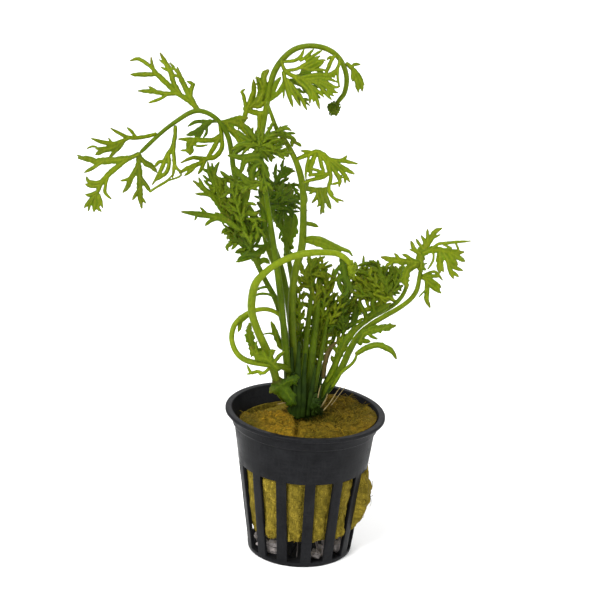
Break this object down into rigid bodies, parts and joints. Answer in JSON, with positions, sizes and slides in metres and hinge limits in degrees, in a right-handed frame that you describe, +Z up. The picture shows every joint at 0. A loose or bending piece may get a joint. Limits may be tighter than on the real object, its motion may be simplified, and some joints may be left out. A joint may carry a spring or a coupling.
{
  "type": "potted water sprite",
  "caption": "Water sprite, a fern-like aquarium plant with finely cut fronds, growing from rock wool in a black slotted net pot that stands on its flat base",
  "frame": {"origin": "middle of the underside of the pot, on the surface it stands on", "axes": "+Z up along the plant, the side seen in the picture faces -Y, +X to the right in the picture"},
  "size_m": [0.1273, 0.054, 0.1701],
  "materials": {
    "pot_plastic": "satin",
    "mineral_wool": "matte",
    "crown": "matte",
    "stem": "satin",
    "leaf": "satin",
    "withered": "matte"
  },
  "bodies": {
    "root": {"back_frond_leaflet_1": "leaf", "back_frond_leaflet_2": "leaf", "back_frond_leaflet_3": "leaf", "back_frond_stem": "stem", "broad_leaf": "leaf", "centre_leaf_1": "leaf", "centre_leaf_2": "leaf", "crown": "crown", "curled_stem": "stem", "curled_stem_leaflet": "leaf", "inner_right_leaflet_1": "leaf", "inner_right_leaflet_2": "leaf", "inner_right_leaflet_3": "leaf", "inner_right_stem": "stem", "left_frond_leaflet_1": "leaf", "left_frond_leaflet_2": "leaf", "left_frond_leaflet_3": "leaf", "left_frond_leaflet_4": "leaf", "left_frond_leaflet_5": "leaf", "left_frond_leaflet_6": "leaf", "left_frond_leaflet_8": "leaf", "left_frond_stem": "stem", "low_right_leaf_1": "leaf", "low_right_leaf_2": "leaf", "low_right_leaf_3": "leaf", "middle_frond_leaflet_1": "leaf", "middle_frond_leaflet_2": "leaf", "middle_frond_leaflet_3": "leaf", "middle_frond_leaflet_4": "leaf", "middle_frond_stem": "stem", "net_pot": "pot_plastic", "right_back_leaflet_1": "leaf", "right_back_leaflet_2": "leaf", "right_back_stem": "stem", "right_frond_leaflet_1": "leaf", "right_frond_leaflet_2": "leaf", "right_frond_leaflet_3": "leaf", "right_frond_leaflet_4": "leaf", "right_frond_stem": "stem", "rock_wool": "mineral_wool", "side_frond_leaflet_1": "leaf", "side_frond_leaflet_2": "leaf", "side_frond_leaflet_3": "leaf", "side_frond_leaflet_5": "leaf", "side_frond_leaflet_6": "leaf", "side_frond_stem": "stem", "slender_leaf": "leaf", "small_curl_leaflet_1": "leaf", "small_curl_stem": "stem", "spoon_leaf": "leaf", "tall_frond_leaflet_1": "leaf", "tall_frond_leaflet_2": "leaf", "tall_frond_stem": "stem", "top_frond_leaflet_1": "leaf", "top_frond_leaflet_2": "leaf", "top_frond_leaflet_3": "leaf", "top_frond_leaflet_5": "leaf", "top_frond_stem": "stem", "withered_leaf": "withered"}
  },
  "joints": []
}
